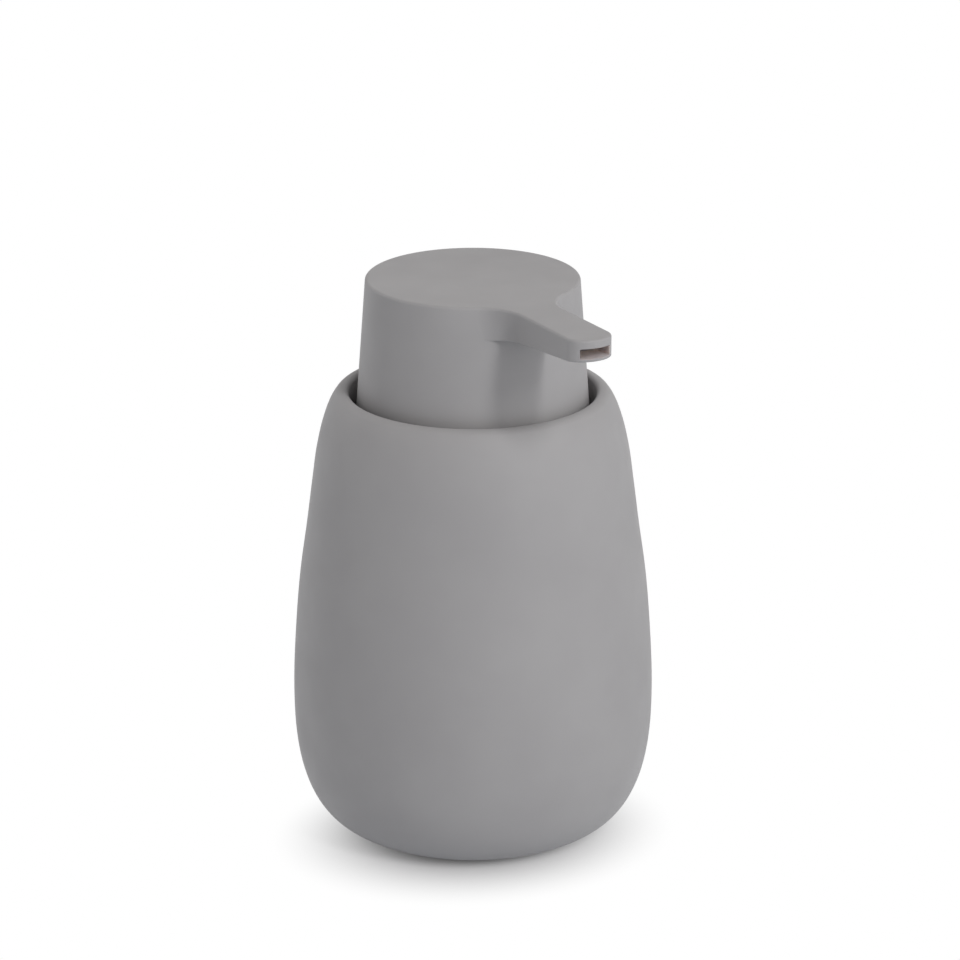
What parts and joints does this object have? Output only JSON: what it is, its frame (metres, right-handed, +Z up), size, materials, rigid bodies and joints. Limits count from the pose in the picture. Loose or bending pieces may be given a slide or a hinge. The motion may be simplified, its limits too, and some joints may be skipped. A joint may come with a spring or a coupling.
{
  "type": "soap dispenser",
  "caption": "Free-standing soap dispenser: rounded stoneware vessel with a wide press head, flat spout and a spring-return lotion pump that lifts out for refilling.",
  "frame": {"origin": "centre of the foot pad's underside, on the surface that the dispenser stands on", "axes": "+Z up along the axis of the vessel and pump; the spout points along -Y"},
  "size_m": [0.08, 0.0922, 0.125],
  "materials": {
    "vessel_coat": "matte soft-touch coat over stoneware",
    "head_coat": "matte soft-touch coat over plastic",
    "raw_plastic": "as moulded, uncoated",
    "pump_plastic": "natural polypropylene, as moulded",
    "seal_silicone": "matte silicone",
    "spring_steel": "drawn stainless wire",
    "valve_steel": "polished stainless ball",
    "pad_foam": "matte closed-cell foam"
  },
  "bodies": {
    "base": {"vessel": "vessel_coat", "foot_pad": "pad_foam"},
    "pump_base": {"mouth_plug": "pump_plastic", "plug_seal": "seal_silicone", "housing_gasket": "seal_silicone", "collar": "pump_plastic", "pump_housing": "pump_plastic", "stem_guide": "pump_plastic", "stem_wiper": "seal_silicone", "inlet_cage": "pump_plastic", "dip_tube": "pump_plastic", "spring": "spring_steel"},
    "inlet_valve": {"inlet_ball": "valve_steel"},
    "carriage": {"spring_seat": "pump_plastic"},
    "plunger": {"stem": "pump_plastic", "piston": "seal_silicone", "head_shell": "head_coat", "outlet_duct": "raw_plastic", "actuator_core": "pump_plastic"},
    "outlet_valve": {"outlet_ball": "valve_steel"}
  },
  "joints": [
    {"name": "pump_lift", "type": "slide", "parent": "base", "child": "pump_base", "axis": [0, 0, 1], "range_m": [0, 0.095]},
    {"name": "head_press", "type": "slide", "parent": "pump_base", "child": "carriage", "axis": [0, 0, -1], "range_m": [0, 0.012], "stiffness_N_per_m": 600, "springref_m": -0.006, "deforming": ["spring"]},
    {"name": "head_swivel", "type": "hinge", "parent": "carriage", "child": "plunger", "pos_m": [0, 0, 0.1], "axis": [0, 0, 1], "continuous": true},
    {"name": "inlet_ball_lift", "type": "slide", "parent": "pump_base", "child": "inlet_valve", "axis": [0, 0, 1], "range_m": [0, 0.0012]},
    {"name": "outlet_ball_lift", "type": "slide", "parent": "plunger", "child": "outlet_valve", "axis": [0, 0, 1], "range_m": [0, 0.0012]}
  ]
}
